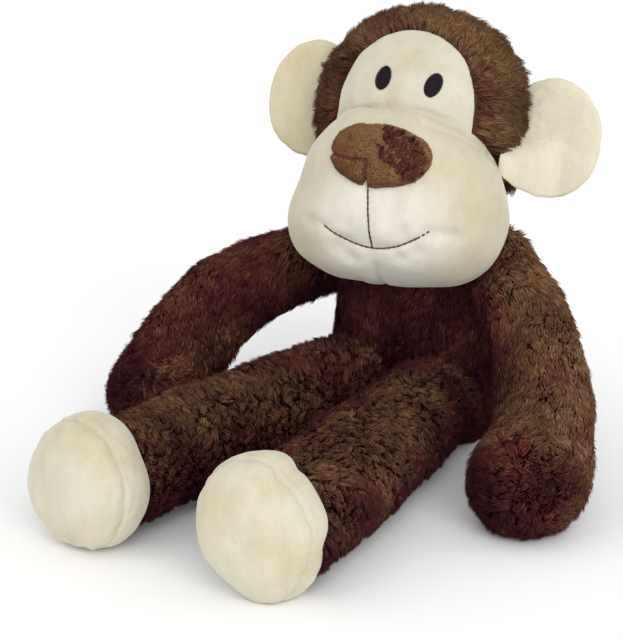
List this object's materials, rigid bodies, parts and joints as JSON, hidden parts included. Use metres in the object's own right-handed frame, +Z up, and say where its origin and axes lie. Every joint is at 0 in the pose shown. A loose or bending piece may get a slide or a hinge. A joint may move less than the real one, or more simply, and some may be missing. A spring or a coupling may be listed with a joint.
{
  "type": "stuffed monkey",
  "caption": "Long-limbed plush monkey sitting with its legs stretched out, with long-pile fur, a padded cream muzzle, round ears and cream feet.",
  "frame": {"origin": "middle of the seat's flat underside, on the surface the toy sits on", "axes": "+Z up, the torso faces -Y with the legs out towards -Y, +X is the monkey's left"},
  "size_m": [0.3387, 0.3637, 0.2746],
  "materials": {
    "brown_fur": "long-pile dark brown fur cloth, matte, brushed in clumps",
    "head_fur": "mid-brown fur cloth, matte, lying back from the face",
    "cream_plush": "short-pile cream plush with a soft sheen",
    "nose_plush": "short-pile brown plush with a soft sheen",
    "eye_thread": "satin-stitch embroidery in near-black thread",
    "mouth_thread": "dark brown embroidery thread",
    "filling": "white polyester fibre filling, never seen"
  },
  "bodies": {
    "torso": {"torso_front_panel": "brown_fur", "torso_back_panel": "brown_fur", "torso_filling": "filling"},
    "neck": {"neck_stub": "brown_fur"},
    "head": {"head_left_panel": "head_fur", "head_right_panel": "head_fur", "face_patch": "cream_plush", "head_filling": "filling", "muzzle_left_panel": "cream_plush", "muzzle_right_panel": "cream_plush", "muzzle_filling": "filling", "nose_pad": "nose_plush", "left_eye": "eye_thread", "right_eye": "eye_thread", "mouth_smile_stitch": "mouth_thread", "mouth_upright_stitch": "mouth_thread"},
    "left_ear": {"left_ear_front": "cream_plush", "left_ear_back": "cream_plush"},
    "right_ear": {"right_ear_front": "cream_plush", "right_ear_back": "cream_plush"},
    "left_upper_arm": {"left_upper_arm_sleeve": "brown_fur", "left_upper_arm_filling": "filling"},
    "left_forearm": {"left_forearm_sleeve": "brown_fur", "left_forearm_filling": "filling"},
    "right_upper_arm": {"right_upper_arm_sleeve": "brown_fur", "right_upper_arm_filling": "filling"},
    "right_forearm": {"right_forearm_sleeve": "brown_fur", "right_forearm_filling": "filling"},
    "left_thigh": {"left_thigh_sleeve": "brown_fur", "left_thigh_filling": "filling"},
    "left_shin": {"left_shin_sleeve": "brown_fur", "left_shin_filling": "filling", "left_foot_sole": "cream_plush", "left_foot_band": "cream_plush", "left_foot_filling": "filling"},
    "right_thigh": {"right_thigh_sleeve": "brown_fur", "right_thigh_filling": "filling"},
    "right_shin": {"right_shin_sleeve": "brown_fur", "right_shin_filling": "filling", "right_foot_sole": "cream_plush", "right_foot_band": "cream_plush", "right_foot_filling": "filling"}
  },
  "joints": [
    {"name": "head_turn", "type": "hinge", "parent": "torso", "child": "neck", "pos_m": [0, 0.002, 0.152], "axis": [0, 0, 1], "range_deg": [-30, 6]},
    {"name": "head_nod", "type": "hinge", "parent": "neck", "child": "head", "pos_m": [0, 0.002, 0.152], "axis": [0.9744, 0.225, 0], "range_deg": [-12, 2], "stiffness_Nm_per_rad": 1.5},
    {"name": "left_ear_fold", "type": "hinge", "parent": "head", "child": "left_ear", "pos_m": [0.06116, 0.02449, 0.19603], "axis": [-0.1019, -0.0235, -0.9945], "range_deg": [-30, 30], "stiffness_Nm_per_rad": 0.05},
    {"name": "right_ear_fold", "type": "hinge", "parent": "head", "child": "right_ear", "pos_m": [-0.06869, -0.00549, 0.21004], "axis": [0.1019, 0.0235, 0.9945], "range_deg": [-30, 30], "stiffness_Nm_per_rad": 0.05},
    {"name": "left_shoulder_raise", "type": "hinge", "parent": "torso", "child": "left_upper_arm", "pos_m": [0.052, 0.002, 0.118], "axis": [-0.2445, -0.7147, 0.6553], "range_deg": [0, 60]},
    {"name": "left_elbow_bend", "type": "hinge", "parent": "left_upper_arm", "child": "left_forearm", "pos_m": [0.108, -0.052, 0.08], "axis": [-1, 0, 0], "range_deg": [0, 45]},
    {"name": "right_shoulder_raise", "type": "hinge", "parent": "torso", "child": "right_upper_arm", "pos_m": [-0.052, 0.002, 0.118], "axis": [-0.2328, 0.7566, -0.6111], "range_deg": [0, 48]},
    {"name": "right_elbow_bend", "type": "hinge", "parent": "right_upper_arm", "child": "right_forearm", "pos_m": [-0.124, -0.046, 0.086], "axis": [-1, 0, 0], "range_deg": [0, 45]},
    {"name": "left_hip_lift", "type": "hinge", "parent": "torso", "child": "left_thigh", "pos_m": [0.027, -0.034, 0.027], "axis": [-1, 0, 0], "range_deg": [0, 32]},
    {"name": "left_knee_swing", "type": "hinge", "parent": "left_thigh", "child": "left_shin", "pos_m": [0.04264, -0.14762, 0.027], "axis": [0, 0, 1], "range_deg": [-8, 25]},
    {"name": "right_hip_lift", "type": "hinge", "parent": "torso", "child": "right_thigh", "pos_m": [-0.027, -0.034, 0.027], "axis": [-1, 0, 0], "range_deg": [0, 32]},
    {"name": "right_knee_swing", "type": "hinge", "parent": "right_thigh", "child": "right_shin", "pos_m": [-0.0431, -0.1444, 0.027], "axis": [0, 0, -1], "range_deg": [-8, 25]}
  ]
}
